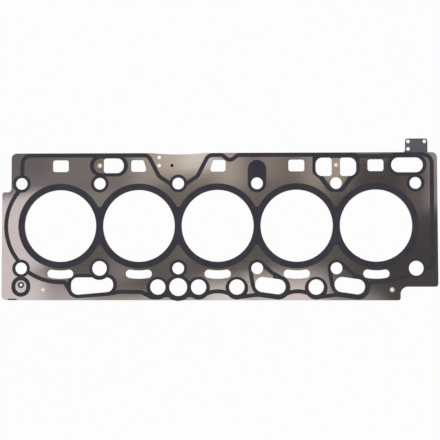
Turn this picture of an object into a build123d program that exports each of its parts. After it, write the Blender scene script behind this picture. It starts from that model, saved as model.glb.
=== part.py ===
"""Multi-layer steel cylinder head gasket for a five-cylinder in-line engine.

Frame: origin at the centre of the middle cylinder bore, on the plane that the gasket lies on.
+X runs along the cylinder row, +Y towards the side with the thickness tab, +Z up through the stack.

Two thin spring-steel sheets with a full bead pressed round each bore lie on both sides of a carrier
sheet. Stopper rings on the carrier limit how far the beads flatten, hollow rivets hold the stack
together, and an elastomer seal is printed on the upper sheet.
"""

import os

from build123d import *

os.makedirs("parts", exist_ok=True)

# ---- cylinder row and fixings, mm
bore_radius = 41.5
bore_web = 8.0  # steel left between two bores
cylinder_pitch = 2 * bore_radius + bore_web
bolt_stand_off = 7.5
bolt_row = bore_radius + bolt_stand_off  # head bolts stand in two rows, this far from the bores' centres
bolt_hole_radius = 6.8
dowel_hole_radius = 8.5  # two of the bolt holes also take a hollow dowel

# ---- thickness of each layer
sheet_thickness = 0.25
carrier_thickness = 0.60
stopper_thickness = 0.10
seal_thickness = 0.05

# ---- full bead round each bore, crest towards the carrier
bead_height = 0.20
bead_offset = 3.1  # from the bore's edge to the middle of the crest
bead_width = 3.0
crest_width = 1.0
stopper_width = 1.4

# ---- outline: margins run outwards from the end bolts and from the two bolt rows
left_margin = 22.5
right_margin = 24.9
top_margin = 35.4
bottom_margin = 36.6
notch_depth = 10.6
notch_drop = 9.8
ear_length = 43.1
ear_margin = 21.1
corner_radius = 6.0
notch_corner_radius = 2.8
notch_root_radius = 4.5
ear_root_radius = 8.5
ear_corner_radius = 3.5
dip_depth = 1.7  # shallow dip of the upper edge
dip_half_width = 32.0
bump_wall = 5.7  # the lower edge swells round the large port

# ---- thickness tab on the carrier
tab_offset = 1.5
tab_width = 25.6
tab_height = 15.9
tab_corner_radius = 2.8
tab_root_radius = 3.0
tab_hole_radius = 2.1
tab_hole_inset = 3.4
tab_hole_pitch = 8.6

# ---- openings for coolant and oil: a rise is measured outwards from the bolt row
window_rise = 20.5
window_width = 18.5
window_height = 13.7
window_radius = 2.9
window_slant = 4.0
slot_stand_off = 14.7  # crescent slots, from the bore's edge to their middle line
slot_width = 9.6
slot_half_angle = 10.6
port_rise = 21.5
port_spacing = 23.5
port_radius = 8.8
large_port_radius = 10.3
end_port_offset = 22.0
duct_rise = 20.8
duct_height = 17.2
duct_end_radius = 8.0
duct_corner_radius = 3.4
single_duct_offset = 4.4
single_duct_width = 23.4
twin_duct_rise = 18.8
twin_duct_width = 18.7
twin_duct_height = 21.3
twin_duct_gap = 9.4
twin_duct_radius = 7.6
pill_offset = 36.1
pill_width = 36.6
tilted_slot_offset = 15.0
tilted_slot_rise = 19.9
tilted_slot_width = 35.2
tilted_slot_height = 17.4
tilted_slot_angle = -8.0
gallery_left = 33.0  # reaches from the first dowel hole
gallery_right = 15.9
gallery_rise = 10.4  # to its upper wall
gallery_height = 16.2
gallery_fall = 4.4  # the lower wall falls by this much towards the left
gallery_radius = 7.8
gallery_bow_wall = 4.8  # the upper wall bows round the dowel hole

# ---- small holes and rivets
rivet_flange_radius = 2.9
rivet_shank_radius = 2.0
rivet_bore_radius = 1.4
rivet_flange_thickness = 0.05
upper_rivet_rise = 20.9
lower_rivet_rise = 24.5
lower_rivet_reach = 20.1
lower_right_rivet_reach = 17.7
pin_hole_radius = 2.1
pin_hole_offset = 22.2
pin_hole_spacing = 9.5
gauge_hole_radius = 1.9  # stops at the lower sheet
gauge_hole_offset = 7.2
oil_hole_radius = 1.7
oil_hole_rise = 19.0

# ---- printed seal
line_width = 4.7
line_inset = 2.6  # centre of the line from the upper edge
lower_line_inset = 3.2
right_line_inset = 6.2
bore_seal_width = 7.5
web_seal_width = 3.4  # fills the sharp notch where two rings meet
web_seal_height = 44.0
bolt_seal_width = 3.5
dowel_seal_width = 3.0
port_seal_width = 4.3
port_seal_drop = 1.2  # rings round the ports sit this much lower than the ports
large_port_seal_width = 4.9
port_bridge_width = 10.6
crescent_stand_off = 21.7  # line round the first bore, from the bore's edge
lower_crescent_stand_off = 23.3
crescent_run = 5.4  # straight end of the lower crescent
gallery_line_offset = 13.0  # where that line meets the gallery's ring
gallery_line_drop = 29.0
link_drop = 27.0  # line from the gallery to the first port
link_start = 10.0
link_bend = 22.5
link_end = 3.0
link_foot = 15.0
arch_radius = 31.9  # the lower line arches over the bare edge below two bores
arch_height = 7.1
last_arch_offset = 1.0
sag_half_width = 23.6  # the lower line rises a little below the tilted slots
sag_rise = 3.2
sag_radius = 30.0
dowel_line_drop = 6.5  # line from the last tilted slot to the right dowel
dowel_line_rise = 13.3
dowel_line_knee = 16.0
dowel_line_foot = 23.0
end_bend_offset = 6.0
left_line_offset = 0.7
line_corner_radius = 10.0
line_bend_radius = 6.0
valley_half_width = 34.9  # the upper line dips to the bolt between the second and third bores
valley_shoulder = 22.3
valley_shoulder_rise = 8.5
valley_depth = 6.5
valley_radius = 8.0
valley_knee_radius = 5.0
dent_offset = 14.4  # dent of the upper line beside the slanted window
dent_half_width = 8.9
dent_depth = 7.3
dent_rim_radius = 4.0
step_offset = 18.5  # the upper line runs lower between the twin ducts and the pill duct
step_end = 17.0
step_run = 8.0
step_depth = 1.8
right_line_drop = 1.0
bolt_field_length = 16.4  # solid field over one bolt hole
bolt_field_width = 21.4
duct_seal_width = 3.9
pocket_wall = 3.7
gallery_seal_width = 4.2
tilted_slot_seal_width = 4.4
slot_line_radius = 12.0
slot_line_sweep_radius = 20.0
slot_ring_offset = 24.1  # disc that thickens the ring's far end
slot_ring_drop = 21.9
slot_ring_radius = 13.9
pocket_radius = 1.0
single_cell_length = 44.4
single_cell_shift = 5.6
single_pocket_length = 28.0
single_pocket_shift = 9.0
twin_cell_rise = 11.5
twin_cell_knee_x = 19.0
twin_cell_knee_rise = 4.5
twin_cell_foot_x = 8.0
twin_cell_foot_drop = 10.3
twin_pocket_x = 15.4
twin_pocket_lip = 0.5
twin_pocket_foot_x = 7.6
twin_pocket_foot_drop = 2.6
oil_ring_width = 22.0
oil_ring_height = 23.7
oil_ring_wall = 4.75
oil_ring_drop = 1.8
oil_eye_width = 2.0
edge_bar_offset = 9.8
edge_bar_inset = 1.0
edge_bar_length = 9.9
edge_bar_width = 1.6

# ---- printed lines round each tilted slot, from the bolt above it: (along the row, below the row)
slot_left_line = [(-7.9, 0.0), (-7.3, 5.9), (-5.0, 20.4), (0.5, 29.0)]
slot_right_line = [(5.5, -5.7), (16.2, 4.6), (27.9, 11.1)]
slot_pocket = [(-5.6, 3.8), (-3.6, 16.0), (-1.0, 19.5), (18.0, 14.5), (18.0, 7.2), (12.5, 1.2), (6.0, 1.2)]

# ---- where the printed arcs start and how far they sweep, degrees from +X
crescent_sweep = (138, 83)
lower_crescent_sweep = (230, 40)
arch_sweep = (56.6, 66.8)

# ---- height of each layer's lower face
carrier_z = sheet_thickness + bead_height
stopper_z = carrier_z + carrier_thickness
upper_sheet_z = stopper_z + bead_height
top_z = upper_sheet_z + sheet_thickness


def column(k, offset=0.0):
    """X of a point at an offset from column k of the cylinder row, with column 0 in the middle."""
    return k * cylinder_pitch + offset


def upper_row(rise=0.0):
    """Y of a point outside the upper bolt row."""
    return bolt_row + rise


def lower_row(rise=0.0):
    """Y of a point outside the lower bolt row."""
    return -bolt_row - rise


left_edge = column(-2.5, -left_margin)
right_edge = column(2.5, right_margin)
bore_places = [(column(k), 0) for k in (-2, -1, 0, 1, 2)]
dowel_places = [(column(k), lower_row()) for k in (-1.5, 2.5)]
bolt_places = [(column(k), upper_row()) for k in (-2.5, -1.5, -0.5, 0.5, 1.5, 2.5)]
bolt_places += [(column(k), lower_row()) for k in (-2.5, -0.5, 0.5, 1.5)]
port_places = [(column(-0.5, x), lower_row(port_rise)) for x in (-port_spacing, port_spacing)]
port_places += [(column(k, end_port_offset), lower_row(port_rise)) for k in (0, 1)]
large_port_place = (column(-0.5), lower_row(port_rise))
pill_place = (column(2, pill_offset), upper_row(duct_rise))
single_duct_place = (column(-1.5, single_duct_offset + single_duct_width / 2), upper_row(duct_rise))
rivet_places = [
    (column(-1.5), upper_row(upper_rivet_rise)),
    (column(1.5), upper_row(upper_rivet_rise)),
    (column(-2, -lower_rivet_reach), lower_row(lower_rivet_rise)),
    (column(2, lower_right_rivet_reach), lower_row(lower_rivet_rise)),
]
pin_places = [
    (column(-0.5, -pin_hole_offset), upper_row(upper_rivet_rise)),
    (column(-0.5, -pin_hole_offset), upper_row(upper_rivet_rise + pin_hole_spacing)),
]
gauge_hole_place = (column(-0.5, -gauge_hole_offset), upper_row(upper_rivet_rise))
oil_hole_place = (column(-2.5), lower_row(oil_hole_rise))


def outline():
    """Adds the sheet's outer shape to the sketch in hand."""
    notch_x = left_edge + notch_depth
    ear_x = right_edge - ear_length
    with BuildLine() as path:
        FilletPolyline(
            (notch_x, upper_row(top_margin)),
            (right_edge, upper_row(top_margin)),
            (right_edge, lower_row(ear_margin)),
            (ear_x, lower_row(ear_margin)),
            (ear_x, lower_row(bottom_margin)),
            (left_edge, lower_row(bottom_margin)),
            (left_edge, upper_row(-notch_drop)),
            (notch_x, upper_row(-notch_drop)),
            radius=[
                corner_radius,
                corner_radius,
                ear_corner_radius,
                ear_root_radius,
                notch_corner_radius,
                corner_radius,
                notch_corner_radius,
                notch_root_radius,
            ],
            close=True,
        )
    make_face(path.edges())
    with Locations(large_port_place):
        Circle(large_port_radius + bump_wall)
    dip_radius = (dip_half_width**2 + dip_depth**2) / (2 * dip_depth)
    with Locations((column(-0.5), upper_row(top_margin) - dip_depth + dip_radius)):
        Circle(dip_radius, mode=Mode.SUBTRACT)


def thickness_tab():
    """Adds the tab past the upper edge, whose pattern of holes tells the gasket's thickness."""
    x = column(2.5, tab_offset)
    half = tab_width / 2
    edge_y = upper_row(top_margin)
    root_y = edge_y - tab_root_radius
    with BuildLine() as path:
        FilletPolyline(
            (x - half - 2 * tab_root_radius, root_y),
            (x - half - 2 * tab_root_radius, edge_y),
            (x - half, edge_y),
            (x - half, edge_y + tab_height),
            (x + half, edge_y + tab_height),
            (x + half, root_y),
            radius=[0.0, 0.0, tab_root_radius, tab_corner_radius, tab_corner_radius, 0.0],
            close=True,
        )
    make_face(path.edges())
    left_x = x - half + tab_hole_inset
    right_x = x + half - tab_hole_inset
    hole_y = edge_y + tab_height - tab_hole_inset
    with Locations((left_x, hole_y), (right_x, hole_y), (left_x, hole_y - tab_hole_pitch)):
        Circle(tab_hole_radius, mode=Mode.SUBTRACT)


def cut_slanted_window(x, lean):
    """Cuts a coolant window whose side towards lean (-1 left, 1 right) slopes in at the top."""
    top_y = upper_row(window_rise + window_height / 2)
    bottom_y = upper_row(window_rise - window_height / 2)
    with BuildLine() as path:
        FilletPolyline(
            (x - lean * window_width / 2, bottom_y),
            (x + lean * window_width / 2, bottom_y),
            (x + lean * (window_width / 2 - window_slant), top_y),
            (x - lean * window_width / 2, top_y),
            radius=window_radius,
            close=True,
        )
    make_face(path.edges(), mode=Mode.SUBTRACT)


def cut_duct(x, rise, width, height, side, end_radius):
    """Cuts a duct from x towards side (-1 left, 1 right): small corners first, large ones last."""
    top_y = upper_row(rise + height / 2)
    bottom_y = upper_row(rise - height / 2)
    with BuildLine() as path:
        FilletPolyline(
            (x, bottom_y),
            (x + side * width, bottom_y),
            (x + side * width, top_y),
            (x, top_y),
            radius=[duct_corner_radius, end_radius, end_radius, duct_corner_radius],
            close=True,
        )
    make_face(path.edges(), mode=Mode.SUBTRACT)


def gallery(margin=0.0, mode=Mode.SUBTRACT):
    """The long coolant gallery under the first dowel hole, grown by a margin on all sides."""
    left_x = column(-1.5, -gallery_left - margin)
    right_x = column(-1.5, gallery_right + margin)
    top_y = lower_row(gallery_rise - margin)
    bottom_y = lower_row(gallery_rise + gallery_height + margin)
    with BuildLine() as path:
        FilletPolyline(
            (left_x, top_y),
            (right_x, top_y),
            (right_x, bottom_y),
            (left_x, bottom_y - gallery_fall),
            radius=gallery_radius + margin,
            close=True,
        )
    make_face(path.edges(), mode=mode)


def tilted_slot(x, margin=0.0, mode=Mode.SUBTRACT):
    """The tilted slot to the right of column x, grown by a margin on all sides."""
    with Locations((x + tilted_slot_offset, lower_row(tilted_slot_rise))):
        SlotOverall(
            tilted_slot_width + 2 * margin,
            tilted_slot_height + 2 * margin,
            rotation=tilted_slot_angle,
            mode=mode,
        )


def cut_openings():
    """Cuts every opening that runs through all layers out of the sketch in hand."""
    gallery()
    with Locations(dowel_places[0]):
        Circle(dowel_hole_radius + gallery_bow_wall)
    with Locations(bore_places):
        Circle(bore_radius, mode=Mode.SUBTRACT)
    with Locations(bolt_places):
        Circle(bolt_hole_radius, mode=Mode.SUBTRACT)
    with Locations(dowel_places):
        Circle(dowel_hole_radius, mode=Mode.SUBTRACT)
    with Locations(port_places):
        Circle(port_radius, mode=Mode.SUBTRACT)
    with Locations(large_port_place):
        Circle(large_port_radius, mode=Mode.SUBTRACT)
    for place in bore_places:
        middle = CenterArc(
            place, bore_radius + slot_stand_off, 270 - slot_half_angle, 2 * slot_half_angle
        )
        SlotArc(middle, slot_width, mode=Mode.SUBTRACT)
    with Locations([(column(k), upper_row(window_rise)) for k in (-2, 1, 2)]):
        RectangleRounded(window_width, window_height, window_radius, mode=Mode.SUBTRACT)
    cut_slanted_window(column(-1), 1)
    cut_slanted_window(column(0), -1)
    single_x = column(-1.5, single_duct_offset)
    cut_duct(single_x, duct_rise, single_duct_width, duct_height, 1, duct_end_radius)
    for side in (-1, 1):
        twin_x = column(1.5, side * twin_duct_gap / 2)
        cut_duct(twin_x, twin_duct_rise, twin_duct_width, twin_duct_height, side, twin_duct_radius)
        tilted_slot(column(1 + side / 2))
    with Locations(pill_place):
        SlotOverall(pill_width, duct_height, mode=Mode.SUBTRACT)
    with Locations(pin_places):
        Circle(pin_hole_radius, mode=Mode.SUBTRACT)
    with Locations(oil_hole_place):
        Circle(oil_hole_radius, mode=Mode.SUBTRACT)
    with Locations(rivet_places):
        Circle(rivet_shank_radius, mode=Mode.SUBTRACT)


def gauge_hole():
    """Cuts the blind hole that is open at the top and stops at the lower sheet."""
    with Locations(gauge_hole_place):
        Circle(gauge_hole_radius, mode=Mode.SUBTRACT)


def seal_line(points, radius):
    """Adds a printed line with round ends along straight runs joined by arcs."""
    with BuildLine() as path:
        FilletPolyline(*points, radius=radius)
    trace(path.edges(), line_width=line_width)
    with Locations(points[0], points[-1]):
        Circle(line_width / 2)


def seal_arc(centre, radius, sweep):
    """Adds a printed line with round ends along an arc from the first angle, turning by the second."""
    with BuildLine() as path:
        arc = CenterArc(centre, radius, *sweep)
    trace(path.edges(), line_width=line_width)
    with Locations(arc @ 0, arc @ 1):
        Circle(line_width / 2)


def cell(points, radius, mode=Mode.ADD):
    """Adds a printed field with rounded corners, or clears one."""
    with BuildLine() as path:
        FilletPolyline(*points, radius=radius, close=True)
    make_face(path.edges(), mode=mode)


def ring_seals():
    """Rings round the bores, the bolt holes and the ports, which join where they meet."""
    with Locations(bore_places):
        Circle(bore_radius + bore_seal_width)
    with Locations([(column(k), 0) for k in (-1.5, -0.5, 0.5, 1.5)]):
        Rectangle(web_seal_width, web_seal_height)
    with Locations(bolt_places):
        Circle(bolt_hole_radius + bolt_seal_width)
    with Locations(dowel_places):
        Circle(dowel_hole_radius + dowel_seal_width)
    with Locations([(x, y - port_seal_drop) for x, y in port_places]):
        Circle(port_radius + port_seal_width)
    x, y = large_port_place
    with Locations((x, y - port_seal_drop)):
        Circle(large_port_radius + large_port_seal_width)
    with Locations((x, y - port_seal_drop - port_bridge_width / 2)):
        Rectangle(2 * port_spacing, port_bridge_width)


def upper_lines():
    """The line along the upper edge and down the right side, and the field over one bolt."""
    left_x = column(-2.5, left_line_offset)
    right_x = right_edge - right_line_inset
    valley_x = column(-0.5)
    dent_x = column(0, dent_offset)
    line_y = upper_row(top_margin - line_inset)
    shoulder_y = upper_row(valley_shoulder_rise)
    valley_y = upper_row(-valley_depth)
    end_y = lower_row(right_line_drop)
    seal_line(
        [
            (left_x, upper_row()),
            (left_x, line_y),
            (valley_x - valley_half_width, line_y),
            (valley_x - valley_shoulder, shoulder_y),
            (valley_x, valley_y),
        ],
        radius=[line_corner_radius, valley_radius, valley_knee_radius],
    )
    seal_line(
        [
            (valley_x, valley_y),
            (valley_x + valley_shoulder, shoulder_y),
            (valley_x + valley_half_width, line_y),
            (dent_x - dent_half_width, line_y),
            (dent_x, line_y - dent_depth),
            (dent_x + dent_half_width, line_y),
            (column(1.5, step_offset), line_y),
            (column(1.5, step_offset + step_run), line_y - step_depth),
            (column(2, step_end), line_y - step_depth),
            (column(2, step_end + step_run), line_y),
            (right_x, line_y),
            (right_x, end_y),
            (column(2.5), end_y),
        ],
        radius=[
            valley_knee_radius,
            valley_radius,
            dent_rim_radius,
            line_bend_radius,
            dent_rim_radius,
            line_bend_radius,
            line_bend_radius,
            line_bend_radius,
            line_bend_radius,
            line_corner_radius,
            line_corner_radius,
        ],
    )
    with Locations((column(0.5), upper_row(bolt_field_length / 2))):
        SlotCenterToCenter(bolt_field_length, bolt_field_width, rotation=90)


def lower_lines():
    """Lines along the lower edge, from the left crescent round to the right dowel."""
    first_bore = bore_places[0]
    low_radius = bore_radius + lower_crescent_stand_off
    line_y = lower_row(bottom_margin - lower_line_inset)
    link_y = lower_row(link_drop)
    seal_arc(first_bore, bore_radius + crescent_stand_off, crescent_sweep)
    seal_arc(first_bore, low_radius, lower_crescent_sweep)
    seal_line(
        [
            (column(-2), -low_radius),
            (column(-2, crescent_run), -low_radius),
            (column(-2, gallery_line_offset), lower_row(gallery_line_drop)),
        ],
        radius=line_width / 2,
    )
    seal_line(
        [
            (column(-1.5, link_start), link_y - line_width / 2),
            (column(-1.5, link_bend), link_y),
            (column(-1, link_end), link_y),
            (column(-1, link_foot), line_y),
            (column(-0.5, -port_spacing), line_y),
        ],
        radius=[line_bend_radius, valley_radius, valley_radius],
    )
    arch_y = line_y + arch_height - arch_radius
    for x in (column(0), column(1, last_arch_offset)):
        seal_arc((x, arch_y), arch_radius, arch_sweep)
    for k in (0.5, 1.5):
        seal_line(
            [
                (column(k, -sag_half_width), line_y),
                (column(k), line_y + sag_rise),
                (column(k, sag_half_width), line_y),
            ],
            radius=sag_radius,
        )
    seal_line(
        [
            (column(2.5), lower_row(dowel_line_drop)),
            (column(2, dowel_line_knee), lower_row(dowel_line_rise)),
            (column(2, -end_bend_offset), lower_row(dowel_line_knee)),
            (column(2, -2 * end_bend_offset), lower_row(dowel_line_foot)),
        ],
        radius=[sag_radius, dent_rim_radius],
    )


def slot_points(k, offsets):
    """Points at offsets from the bolt of column k in the lower row."""
    return [(column(k, x), lower_row(drop)) for x, drop in offsets]


def tilted_slot_cell(k):
    """A ring round the tilted slot right of column k, which takes in the bolt above it."""
    tilted_slot(column(k), tilted_slot_seal_width, mode=Mode.ADD)
    with Locations((column(k, slot_ring_offset), lower_row(slot_ring_drop))):
        Circle(slot_ring_radius)
    cell(slot_points(k, slot_pocket), radius=pocket_radius, mode=Mode.SUBTRACT)
    seal_line(slot_points(k, slot_left_line), radius=[slot_line_sweep_radius, slot_line_radius])
    seal_line(slot_points(k, slot_right_line), radius=slot_line_radius)


def duct_cells():
    """Cells round the ducts along the upper edge, with bare steel round their bolt or rivet."""
    cell_height = duct_height + 2 * duct_seal_width
    with Locations(pill_place):
        SlotOverall(pill_width + 2 * duct_seal_width, cell_height)
    x, y = single_duct_place
    with Locations((x - single_cell_shift, y)):
        SlotOverall(single_cell_length, cell_height)
    with Locations((x - single_pocket_shift, y)):
        SlotOverall(single_pocket_length, duct_height, mode=Mode.SUBTRACT)
    x = column(1.5)
    outer = twin_duct_gap / 2 + twin_duct_width + pocket_wall
    top_y = upper_row(top_margin - line_inset) + line_width / 2
    rim_y = upper_row(twin_cell_rise)
    knee_y = upper_row(twin_cell_knee_rise)
    foot_y = upper_row(-twin_cell_foot_drop)
    cell(
        [
            (x - outer, top_y),
            (x - outer, rim_y),
            (x - twin_cell_knee_x, knee_y),
            (x - twin_cell_foot_x, foot_y),
            (x + twin_cell_foot_x, foot_y),
            (x + twin_cell_knee_x, knee_y),
            (x + outer, rim_y),
            (x + outer, top_y),
        ],
        radius=[
            twin_duct_radius,
            line_bend_radius,
            line_corner_radius,
            valley_radius,
            valley_radius,
            line_corner_radius,
            line_bend_radius,
            twin_duct_radius,
        ],
    )
    inner = twin_duct_gap / 2 + duct_corner_radius
    top_y = upper_row(twin_duct_rise + twin_duct_height / 2 - twin_pocket_lip)
    rim_y = upper_row(twin_duct_rise - twin_duct_height / 2) + pocket_radius
    foot_y = upper_row(-twin_pocket_foot_drop)
    cell(
        [
            (x - inner, top_y),
            (x - inner, rim_y),
            (x - twin_pocket_x, rim_y),
            (x - twin_pocket_foot_x, foot_y),
            (x + twin_pocket_foot_x, foot_y),
            (x + twin_pocket_x, rim_y),
            (x + inner, rim_y),
            (x + inner, top_y),
        ],
        radius=pocket_radius / 2,
        mode=Mode.SUBTRACT,
    )


def oil_ring():
    """An oval ring round the oil hole's own small ring, and a short bar at the lower edge."""
    x, y = oil_hole_place
    with Locations((x, y - oil_ring_drop)):
        SlotOverall(oil_ring_height, oil_ring_width, rotation=90)
        SlotOverall(
            oil_ring_height - 2 * oil_ring_wall,
            oil_ring_width - 2 * oil_ring_wall,
            rotation=90,
            mode=Mode.SUBTRACT,
        )
    with Locations((x, y)):
        Circle(oil_hole_radius + oil_eye_width)
    with Locations((x - edge_bar_offset, lower_row(bottom_margin - edge_bar_inset))):
        Rectangle(edge_bar_length, edge_bar_width)


with BuildSketch() as sheet_profile:
    outline()
    cut_openings()

with BuildSketch() as seal_profile:
    ring_seals()
    upper_lines()
    lower_lines()
    gallery(gallery_seal_width, mode=Mode.ADD)
    tilted_slot_cell(0.5)
    tilted_slot_cell(1.5)
    duct_cells()
    oil_ring()
    add(sheet_profile.sketch, mode=Mode.INTERSECT)


def press_bead(foot_z, direction, mode):
    """Adds or cuts the full bead of every bore: a round ridge with sloping sides and a flat crest."""
    crest_z = foot_z + direction * bead_height
    bead_radius = bore_radius + bead_offset
    for x, y in bore_places:
        with BuildSketch(Plane.XZ.offset(-y)) as section:
            with BuildLine() as path:
                Polyline(
                    (x + bead_radius - bead_width / 2, foot_z),
                    (x + bead_radius - crest_width / 2, crest_z),
                    (x + bead_radius + crest_width / 2, crest_z),
                    (x + bead_radius + bead_width / 2, foot_z),
                    close=True,
                )
            make_face(path.edges())
        revolve(section.sketch, axis=Axis((x, y, 0), (0, 0, 1)), mode=mode)


def rivet_flare(mode):
    """Adds or cuts the flared lower end of each rivet, which is flush with the lower sheet."""
    with Locations(rivet_places):
        Cone(
            rivet_flange_radius,
            rivet_shank_radius,
            sheet_thickness,
            align=(Align.CENTER, Align.CENTER, Align.MIN),
            mode=mode,
        )


with BuildPart() as lower_sheet:
    add(sheet_profile.sketch)
    extrude(amount=sheet_thickness)
    press_bead(sheet_thickness, 1, Mode.ADD)
    press_bead(0, 1, Mode.SUBTRACT)
    rivet_flare(Mode.SUBTRACT)
lower_sheet.part.label = "lower_sheet"
export_step(lower_sheet.part, "parts/lower_sheet.step")

with BuildPart() as carrier_sheet:
    with BuildSketch(Plane.XY.offset(carrier_z)):
        add(sheet_profile.sketch)
        thickness_tab()
        gauge_hole()
    extrude(amount=carrier_thickness)
carrier_sheet.part.label = "carrier_sheet"
export_step(carrier_sheet.part, "parts/carrier_sheet.step")

for number, place in enumerate(bore_places, start=1):
    with BuildPart() as stopper_ring:
        with BuildSketch(Plane.XY.offset(stopper_z)):
            with Locations(place):
                Circle(bore_radius + stopper_width)
                Circle(bore_radius, mode=Mode.SUBTRACT)
        extrude(amount=stopper_thickness)
    stopper_ring.part.label = f"stopper_ring_{number}"
    export_step(stopper_ring.part, f"parts/stopper_ring_{number}.step")

with BuildPart() as upper_sheet:
    with BuildSketch(Plane.XY.offset(upper_sheet_z)):
        add(sheet_profile.sketch)
        gauge_hole()
    extrude(amount=sheet_thickness)
    press_bead(upper_sheet_z, -1, Mode.ADD)
    press_bead(top_z, -1, Mode.SUBTRACT)
upper_sheet.part.label = "upper_sheet"
export_step(upper_sheet.part, "parts/upper_sheet.step")

with BuildPart() as upper_seal:
    with BuildSketch(Plane.XY.offset(top_z)):
        add(seal_profile.sketch)
    extrude(amount=seal_thickness)
    press_bead(top_z, -1, Mode.ADD)
    press_bead(top_z + seal_thickness, -1, Mode.SUBTRACT)
upper_seal.part.label = "upper_seal"
export_step(upper_seal.part, "parts/upper_seal.step")

with BuildPart() as rivets:
    rivet_flare(Mode.ADD)
    with BuildSketch():
        with Locations(rivet_places):
            Circle(rivet_shank_radius)
    extrude(amount=top_z + rivet_flange_thickness)
    with BuildSketch(Plane.XY.offset(top_z)):
        with Locations(rivet_places):
            Circle(rivet_flange_radius)
    extrude(amount=rivet_flange_thickness)
    with BuildSketch():
        with Locations(rivet_places):
            Circle(rivet_bore_radius)
    extrude(amount=top_z + rivet_flange_thickness, mode=Mode.SUBTRACT)
rivets.part.label = "rivets"
export_step(rivets.part, "parts/rivets.step")
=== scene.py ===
import math

import bpy
import numpy as np
from mathutils import Matrix, Vector


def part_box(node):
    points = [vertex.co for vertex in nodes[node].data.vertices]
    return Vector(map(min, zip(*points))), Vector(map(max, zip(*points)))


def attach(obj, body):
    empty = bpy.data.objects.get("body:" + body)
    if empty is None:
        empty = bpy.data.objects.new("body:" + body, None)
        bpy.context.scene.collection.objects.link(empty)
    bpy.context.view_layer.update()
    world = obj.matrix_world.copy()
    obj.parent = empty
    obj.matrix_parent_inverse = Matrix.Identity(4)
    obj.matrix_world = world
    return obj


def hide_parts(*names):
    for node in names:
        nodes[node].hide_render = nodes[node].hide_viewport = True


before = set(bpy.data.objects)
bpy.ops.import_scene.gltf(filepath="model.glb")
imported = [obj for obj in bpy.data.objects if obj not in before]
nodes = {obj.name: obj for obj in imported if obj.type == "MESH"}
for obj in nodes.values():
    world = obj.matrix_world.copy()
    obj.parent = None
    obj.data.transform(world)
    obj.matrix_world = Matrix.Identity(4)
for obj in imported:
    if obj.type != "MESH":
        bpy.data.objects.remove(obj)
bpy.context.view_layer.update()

print("frame loaded:", len(nodes), "nodes")


def toLinear(hexColour):
    # sRGB hex to linear red, green, blue and alpha
    parts = [int(hexColour[i:i + 2], 16) / 255 for i in (0, 2, 4)]
    return [p / 12.92 if p <= 0.04045 else ((p + 0.055) / 1.055) ** 2.4 for p in parts] + [1.0]


def addNode(tree, kind, inputs=(), **settings):
    # adds one node with its settings: each input takes a value, or the output that feeds it
    node = tree.nodes.new(kind)
    for name, value in settings.items():
        setattr(node, name, value)
    for socket, value in inputs:
        if isinstance(value, bpy.types.NodeSocket):
            tree.links.new(value, node.inputs[socket])
        else:
            node.inputs[socket].default_value = value
    return node


def clearTree(owner):
    # turns a material's or a world's nodes on and takes them all out
    owner.use_nodes = True
    owner.node_tree.nodes.clear()
    return owner.node_tree


def addObject(name, data):
    # puts a mesh, lamp or camera into the scene, at the origin
    thing = bpy.data.objects.new(name, data)
    bpy.context.collection.objects.link(thing)
    return thing


noiseRange = (0.3, 0.7)  # noise at which a tint and a roughness start and end


def makeFinish(s):
    # a finish whose tint, roughness and relief each follow a pattern of noise: a pattern is the
    # length of its features in metres along x, y and z, its detail and its roughness
    material = bpy.data.materials.new(s["name"])
    tree = clearTree(material)
    coords = addNode(tree, "ShaderNodeTexCoord").outputs["Object"]
    noise = {}
    for name, (size, detail, rough) in s["patterns"].items():
        scaled = addNode(tree, "ShaderNodeMapping",
                         [("Scale", [1 / length for length in size]), ("Vector", coords)])
        noise[name] = addNode(tree, "ShaderNodeTexNoise",
                              [("Scale", 1.0), ("Detail", detail), ("Roughness", rough),
                               ("Vector", scaled.outputs["Vector"])]).outputs["Fac"]
    tint = addNode(tree, "ShaderNodeValToRGB", [("Fac", noise[s["tintBy"]])])
    for stop, place, colour in zip(tint.color_ramp.elements, noiseRange, s["tints"]):
        stop.position, stop.color = place, toLinear(colour)
    roughness = addNode(tree, "ShaderNodeMapRange",
                        [("From Min", noiseRange[0]), ("From Max", noiseRange[1]),
                         ("To Min", s["roughness"][0]), ("To Max", s["roughness"][1]),
                         ("Value", noise[s["roughnessBy"]])])
    inputs = [("Base Color", tint.outputs["Color"]), ("Roughness", roughness.outputs["Result"]),
              ("Metallic", s["metallic"])]
    relief = []
    for name, rise in s["relief"].items():  # in metres, each on top of the one before
        bump = addNode(tree, "ShaderNodeBump",
                       [("Strength", 1.0), ("Distance", rise), ("Height", noise[name])] + relief)
        relief = [("Normal", bump.outputs["Normal"])]
    if "ior" in s:
        inputs.append(("IOR", s["ior"]))
    shader = addNode(tree, "ShaderNodeBsdfPrincipled", inputs + relief)
    addNode(tree, "ShaderNodeOutputMaterial", [("Surface", shader.outputs["BSDF"])])
    return material


# spring steel 1.4310, cold rolled thin: semi-bright, warm grey, with fine lines along the roll
# direction, and it never lies quite flat, so that it mirrors the lamps in broad soft patches;
# real roll lines are under 0.1 mm apart, too fine to show, so they are drawn 1.2 mm apart
springSteel = {
    "name": "springSteelColdRolled", "tints": ("D0C7C3", "DAD3CF"), "tintBy": "patches",
    "roughness": (0.055, 0.09), "roughnessBy": "lines", "metallic": 1.0,
    "patterns": {"patches": ((0.06, 0.04, 0.06), 3.0, 0.5),
                 "lines": ((0.06, 0.0012, 0.0012), 3.0, 0.6),
                 "buckles": ((0.11, 0.07, 0.10), 0.0, 0.5)},
    "relief": {"buckles": 0.0006, "lines": 0.0000015},
}

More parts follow.
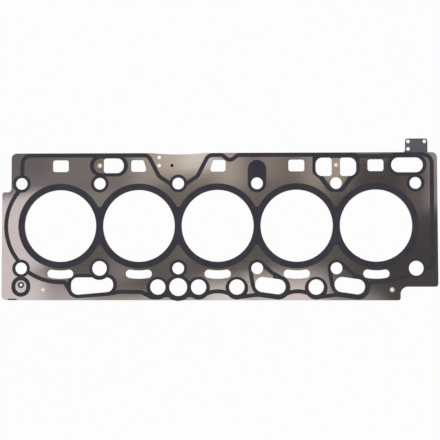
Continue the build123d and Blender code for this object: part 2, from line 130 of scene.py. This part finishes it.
# fluoroelastomer, screen printed and cured: near black with a cold cast, satin, and slightly
# pebbled by the mesh of the screen, which has a thread each 0.4 mm
printedElastomer = {
    "name": "elastomerScreenPrinted", "tints": ("33323E", "3D3C4A"), "tintBy": "flow",
    "roughness": (0.45, 0.6), "roughnessBy": "flow", "metallic": 0.0, "ior": 1.45,
    "patterns": {"flow": ((0.02, 0.02, 0.02), 3.0, 0.5),
                 "mesh": ((0.0004, 0.0004, 0.0004), 1.0, 0.5)},
    "relief": {"mesh": 0.00002},
}

# low-carbon steel, zinc phosphated: slate grey, fine crystalline speckle, hardly any shine; real
# crystals are about 0.02 mm long, too fine to show, so the speckle is drawn at 1.2 mm
carrierSteel = {
    "name": "carbonSteelPhosphated", "tints": ("5E5D69", "7C7B89"), "tintBy": "grain",
    "roughness": (0.4, 0.55), "roughnessBy": "grain", "metallic": 0.35,
    "patterns": {"grain": ((0.0012, 0.0012, 0.0012), 2.0, 0.5)},
    "relief": {"grain": 0.00001},
}

# stainless strip, laser welded: light grey with a faint straw tint from the heat
stopperSteel = {
    "name": "stainlessStripWelded", "tints": ("A79C8E", "B9B3AA"), "tintBy": "heat",
    "roughness": (0.25, 0.35), "roughnessBy": "heat", "metallic": 1.0,
    "patterns": {"heat": ((0.01, 0.01, 0.01), 2.0, 0.5)},
    "relief": {},
}

# steel eyelet, tin plated and pressed: pale cream grey with a soft shine
eyeletTin = {
    "name": "steelTinPlatedPressed", "tints": ("E6DCC4", "F8F0DC"), "tintBy": "marks",
    "roughness": (0.3, 0.42), "roughnessBy": "marks", "metallic": 0.45,
    "patterns": {"marks": ((0.0008, 0.0008, 0.0008), 3.0, 0.5)},
    "relief": {"marks": 0.00001},
}

# the lower sheet is the same steel, and the side that faces the carrier has a thin black coat,
# which is painted shade: its black stands in for the deep shade down the hole through the sheets
# above it
innerCoatPaintedShade = {"name": "springSteelInnerCoatPaintedShade", "colour": "1C1B1F", "roughness": 0.6,
             "from": 0.00012, "to": 0.00013}  # heights between which the coat starts


def makeSteelWithShadeCoat(s):
    # spring steel below the coat's height and the black coat of painted shade above it, by the
    # share of coat at that height
    material = makeFinish({**springSteel, "name": s["name"]})
    tree = material.node_tree
    shader = tree.nodes["Principled BSDF"].inputs
    coords = tree.nodes["Texture Coordinate"].outputs["Object"]
    height = addNode(tree, "ShaderNodeSeparateXYZ", [("Vector", coords)]).outputs["Z"]
    shadeCoat = addNode(tree, "ShaderNodeMapRange",
                   [("From Min", s["from"]), ("From Max", s["to"]),
                    ("Value", height)]).outputs["Result"]
    steelColour = shader["Base Color"].links[0].from_socket
    steelRoughness = shader["Roughness"].links[0].from_socket
    # a mix node takes its share at 0, two numbers at 2 and 3 or two colours at 6 and 7
    colour = addNode(tree, "ShaderNodeMix",
                     [(0, shadeCoat), (6, steelColour), (7, toLinear(s["colour"]))], data_type="RGBA")
    roughness = addNode(tree, "ShaderNodeMix",
                        [(0, shadeCoat), (2, steelRoughness), (3, s["roughness"])], data_type="FLOAT")
    bare = addNode(tree, "ShaderNodeMath", [(0, 1.0), (1, shadeCoat)], operation="SUBTRACT")
    tree.links.new(colour.outputs[2], shader["Base Color"])
    tree.links.new(roughness.outputs[0], shader["Roughness"])
    tree.links.new(bare.outputs[0], shader["Metallic"])
    return material


finishes = {"upper_sheet": makeFinish(springSteel), "lower_sheet": makeSteelWithShadeCoat(innerCoatPaintedShade),
            "upper_seal": makeFinish(printedElastomer), "carrier_sheet": makeFinish(carrierSteel)}
stopperFinish = makeFinish(stopperSteel)
for name, node in nodes.items():
    material = finishes.get(name, stopperFinish)
    if not node.material_slots:
        node.data.materials.append(material)
    for materialSlot in node.material_slots:
        materialSlot.material = material
print("finishes set")

# eyelets that hold the sheets together, in metres: crowned head, barrel and flared foot
eyelets = {
    "places": [(-0.1365, 0.0699), (0.1365, 0.0699), (-0.2021, -0.0735), (0.1997, -0.0735)],
    "headRadius": 0.0029, "barrelRadius": 0.0020, "boreRadius": 0.0014,
    "headThickness": 0.00005, "crownShare": 0.9,  # share of the head that the crown falls by
    "mouthRadius": 0.0002, "footHeight": 0.00025, "footRadius": 0.0029,
    "flareWidth": 0.0011, "flareHeight": 0.0004,
    "crownPoints": 13, "mouthPoints": 7, "flarePoints": 9, "segments": 72,
    "sharpAngle": 40,  # degrees past which an edge stays sharp
}


def makeEyelets(s):
    # profile: the head's crown is a shallow parabola, the mouth and the foot's flare are quarter
    # ellipses; each profile point (r, z) is turned about its axis to (x + r cos a, y + r sin a, z)
    low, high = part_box("rivets")
    top, foot = high.z, low.z
    outer, bore, barrel = s["headRadius"], s["boreRadius"], s["barrelRadius"]
    mouth, mouthWidth = s["mouthRadius"], s["mouthRadius"] / 2
    across = np.linspace(-1.0, 1.0, s["crownPoints"])
    middle, half = (outer + bore + mouthWidth) / 2, (outer - bore - mouthWidth) / 2
    crown = np.c_[middle - half * across,
                  top - s["headThickness"] * s["crownShare"] * across ** 2]
    turn = np.linspace(0.0, math.pi / 2, s["mouthPoints"])[1:]
    lip = np.c_[bore + mouthWidth * (1 - np.sin(turn)), crown[-1, 1] - mouth * (1 - np.cos(turn))]
    turn = np.linspace(0.0, math.pi / 2, s["flarePoints"])
    flare = np.c_[bore + s["flareWidth"] * (1 - np.cos(turn)),
                  foot + s["flareHeight"] * (1 - np.sin(turn))]
    neck = top - s["headThickness"]
    outside = np.array([[s["footRadius"], foot], [barrel, foot + s["footHeight"]],
                        [barrel, neck], [outer, neck]])
    profile = np.vstack([crown, lip, flare, outside])
    count, segments = len(profile), s["segments"]
    angle = np.arange(segments) * 2 * math.pi / segments
    radius, height = profile[:, :1], profile[:, 1:]
    ring = np.stack([radius * np.cos(angle), radius * np.sin(angle),
                     height + 0 * angle], axis=-1).reshape(-1, 3)
    row, column = np.meshgrid(np.arange(count), np.arange(segments), indexing="ij")
    nextRow, nextColumn = (row + 1) % count, (column + 1) % segments
    quads = np.stack([row * segments + column, row * segments + nextColumn,
                      nextRow * segments + nextColumn, nextRow * segments + column], axis=-1)
    quads = quads.reshape(-1, 4)
    points = np.vstack([ring + [x, y, 0.0] for x, y in s["places"]])
    faces = np.vstack([quads + k * len(ring) for k in range(len(s["places"]))])
    mesh = bpy.data.meshes.new("eyelets")
    mesh.from_pydata(points.tolist(), [], faces.tolist())
    mesh.polygons.foreach_set("use_smooth", np.ones(len(faces), dtype=bool))
    mesh.set_sharp_from_angle(angle=math.radians(s["sharpAngle"]))
    mesh.materials.append(makeFinish(eyeletTin))
    piece = addObject("eyelets", mesh)
    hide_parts("rivets")
    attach(piece, "root")


makeEyelets(eyelets)
print("eyelets made")

# floor: a pale paper sheet just below the part, in metres; the camera and mirrors see a share of
# it as plain white, and the rest keeps the part's shadow
floorSettings = {"size": 24.0, "drop": 0.00005, "colour": "F4F4F4", "whiteShare": 0.95}


def makeFloor(s):
    half = s["size"] / 2
    mesh = bpy.data.meshes.new("floor")
    corners = [(-half, -half, -s["drop"]), (half, -half, -s["drop"]),
               (half, half, -s["drop"]), (-half, half, -s["drop"])]
    mesh.from_pydata(corners, [], [(0, 1, 2, 3)])
    material = bpy.data.materials.new("paperPale")
    tree = clearTree(material)
    paper = addNode(tree, "ShaderNodeBsdfDiffuse", [("Color", toLinear(s["colour"]))])
    white = addNode(tree, "ShaderNodeEmission", [("Color", toLinear("FFFFFF")), ("Strength", 1.0)])
    path = addNode(tree, "ShaderNodeLightPath").outputs
    seen = path["Is Camera Ray"]
    for ray in ("Is Glossy Ray", "Is Transmission Ray"):
        seen = addNode(tree, "ShaderNodeMath", [(0, seen), (1, path[ray])],
                       operation="MAXIMUM").outputs[0]
    share = addNode(tree, "ShaderNodeMath", [(0, seen), (1, s["whiteShare"])],
                    operation="MULTIPLY")
    mix = addNode(tree, "ShaderNodeMixShader",
                  [(0, share.outputs[0]), (1, paper.outputs[0]), (2, white.outputs[0])])
    addNode(tree, "ShaderNodeOutputMaterial", [("Surface", mix.outputs[0])])
    mesh.materials.append(material)
    addObject("floor", mesh)


makeFloor(floorSettings)
print("floor laid")

# studio dome: white near the horizon and dim overhead, with soft panels that the bright sheet
# mirrors; across and along are a direction's X and Y over its Z
dome = {
    "horizon": "FFFFFF", "overhead": "C0BDBA",
    "lowEdge": 0.1, "highEdge": 0.45,  # heights of the sky between which it darkens overhead
    "lowest": 0.05,  # height below which a direction's slopes grow no further
    "cards": [  # edges across and along are slopes as seen from the sheet, later cards in front
        {"across": (-0.55, 0.55), "along": (-0.4, 0.4), "soft": 0.20, "colour": "686563"},
        {"across": (-0.55, -0.10), "along": (0.02, 0.4), "soft": 0.07, "colour": "868280"},
        {"across": (-0.10, 0.12), "along": (0.03, 0.4), "soft": 0.06, "colour": "7C7875"},
        {"across": (-0.55, -0.29), "along": (0.065, 0.4), "soft": 0.04, "colour": "797578"},
        {"across": (0.2, 0.55), "along": (-0.4, 0.4), "soft": 0.10, "colour": "504F51"},
        {"across": (-0.55, -0.235), "along": (-0.4, -0.078), "soft": 0.04, "colour": "C8C1C1"},
        {"across": (-0.55, -0.30), "along": (-0.4, 0.078), "soft": 0.02, "colour": "F0ECEE"},
        {"across": (-0.26, -0.05), "along": (-0.4, -0.0985), "soft": 0.02, "colour": "E2DCD6"},
        {"across": (-0.20, -0.165), "along": (-0.07, -0.03), "soft": 0.04, "colour": "A09C98"},
        {"across": (-0.05, 0.06), "along": (-0.4, -0.085), "soft": 0.035, "colour": "FFFCF6"},
        {"across": (0.02, 0.06), "along": (-0.4, -0.068), "soft": 0.02, "colour": "DED8D0"},
        {"across": (0.06, 0.155), "along": (-0.4, -0.068), "soft": 0.04, "colour": "F8F2EC"},
        {"across": (0.155, 0.25), "along": (-0.4, -0.086), "soft": 0.04, "colour": "A8A49F"},
        {"across": (-0.165, -0.125), "along": (0.075, 0.4), "soft": 0.04, "colour": "B0AAA4"},
        {"across": (-0.125, -0.035), "along": (0.104, 0.4), "soft": 0.05, "colour": "DCD1C6"},
        {"across": (-0.076, -0.022), "along": (0.114, 0.4), "soft": 0.02, "colour": "FFFFF4"},
        {"across": (-0.03, 0.02), "along": (0.07, 0.4), "soft": 0.05, "colour": "C2BAB2"},
        {"across": (0.05, 0.09), "along": (0.09, 0.4), "soft": 0.05, "colour": "A29A92"},
        {"across": (0.118, 0.154), "along": (0.06, 0.4), "soft": 0.03, "colour": "AAA29A"},
        {"across": (0.15, 0.20), "along": (0.09, 0.35), "soft": 0.02, "colour": "BDB3A5"},
        {"across": (0.285, 0.31), "along": (0.03, 0.11), "soft": 0.04, "colour": "746F6B"},
        {"across": (0.322, 0.5), "along": (0.05, 0.3), "soft": 0.02, "colour": "A8A49E"},
        {"across": (0.22, 0.5), "along": (0.137, 0.3), "soft": 0.01, "colour": "D8CEC2"},
        {"across": (0.30, 0.36), "along": (-0.105, -0.08), "soft": 0.02, "colour": "6E6A67"},
        {"across": (-0.325, -0.30), "along": (-0.07, -0.045), "soft": 0.025, "colour": "9A9695"},
        {"across": (-0.24, -0.19), "along": (0.04, 0.085), "soft": 0.03, "colour": "9A9693"},
        {"across": (-0.11, -0.065), "along": (-0.045, -0.005), "soft": 0.03, "colour": "787572"},
    ],
}


def addCard(tree, sky, slopes, card):
    # lays a soft-edged card in front of the sky: its share is the product of a smooth step up at
    # its low edge and a smooth step down at its high edge, across and along
    share, half = 1.0, card["soft"] / 2
    for axis in ("across", "along"):
        for edge, before, after in zip(card[axis], (0.0, 1.0), (1.0, 0.0)):
            step = addNode(tree, "ShaderNodeMapRange",
                           [("Value", slopes[axis]), ("From Min", edge - half),
                            ("From Max", edge + half), ("To Min", before), ("To Max", after)],
                           interpolation_type="SMOOTHSTEP")
            share = addNode(tree, "ShaderNodeMath", [(0, step.outputs["Result"]), (1, share)],
                            operation="MULTIPLY").outputs[0]
    mix = addNode(tree, "ShaderNodeMix", [(0, share), (6, sky), (7, toLinear(card["colour"]))],
                  data_type="RGBA")
    return mix.outputs[2]


def makeDome(s):
    # slopes are X and Y over Z, and the sky goes from the cards to the horizon's white as Z falls
    world = bpy.data.worlds.new("studioDome")
    tree = clearTree(world)
    direction = addNode(tree, "ShaderNodeTexCoord").outputs["Generated"]
    split = addNode(tree, "ShaderNodeSeparateXYZ", [("Vector", direction)]).outputs
    height = addNode(tree, "ShaderNodeMath", [(0, split["Z"]), (1, s["lowest"])],
                     operation="MAXIMUM").outputs[0]
    slopes = {}
    for axis, part in (("across", "X"), ("along", "Y")):
        slopes[axis] = addNode(tree, "ShaderNodeMath", [(0, split[part]), (1, height)],
                               operation="DIVIDE").outputs[0]
    sky = toLinear(s["overhead"])
    for card in s["cards"]:
        sky = addCard(tree, sky, slopes, card)
    low = addNode(tree, "ShaderNodeMapRange",
                  [("Value", split["Z"]), ("From Min", s["highEdge"]), ("From Max", s["lowEdge"]),
                   ("To Min", 0.0), ("To Max", 1.0)], interpolation_type="SMOOTHSTEP")
    sky = addNode(tree, "ShaderNodeMix",
                  [(0, low.outputs["Result"]), (6, sky), (7, toLinear(s["horizon"]))],
                  data_type="RGBA")
    background = addNode(tree, "ShaderNodeBackground", [("Color", sky.outputs[2])])
    addNode(tree, "ShaderNodeOutputWorld", [("Surface", background.outputs["Background"])])
    bpy.context.scene.world = world


makeDome(dome)

# softboxes: place and aim, size along and across, all in metres, and power in watts
softboxes = {
    "keyBox": {"place": (-0.9, 1.3, 1.3), "aim": (0.0, 0.0, 0.0), "size": (1.8, 1.8),
               "power": 5.5},
    "fillBox": {"place": (1.3, -0.9, 1.2), "aim": (0.0, 0.0, 0.0), "size": (1.8, 1.8),
                "power": 4.5},
}


def aimAt(thing, place, target):
    # stands a lamp at its place and turns its -Z towards the target
    thing.location = place
    thing.rotation_euler = (Vector(target) - Vector(place)).to_track_quat("-Z", "Y").to_euler()


for name, s in softboxes.items():
    lamp = bpy.data.lights.new(name, "AREA")
    lamp.shape = "RECTANGLE"
    lamp.size, lamp.size_y = s["size"]
    lamp.energy = s["power"]
    aimAt(addObject(name, lamp), s["place"], s["aim"])
print("dome and softboxes made")

# camera: looks down on the sheet, leaning by under two degrees
cameraSettings = {
    "lens": 50.0, "sensor": 36.0,  # millimetres
    "place": (0.0140041, -0.0139552, 0.7058177),  # metres
    "lean": (0.02924, 0.016, -0.0016),  # axis that it turns about, whose length is the radians
    "nearest": 0.01, "farthest": 60.0,  # metres between which it sees
}


def makeCamera(s):
    camera = bpy.data.cameras.new("camera")
    camera.lens, camera.sensor_width = s["lens"], s["sensor"]
    camera.clip_start, camera.clip_end = s["nearest"], s["farthest"]
    cameraObject = addObject("camera", camera)
    lean = Vector(s["lean"])
    cameraObject.location = s["place"]
    cameraObject.rotation_euler = Matrix.Rotation(lean.length, 3, lean.normalized()).to_euler()
    bpy.context.scene.camera = cameraObject


makeCamera(cameraSettings)
bpy.context.scene.view_settings.view_transform = "Standard"
print("camera placed")
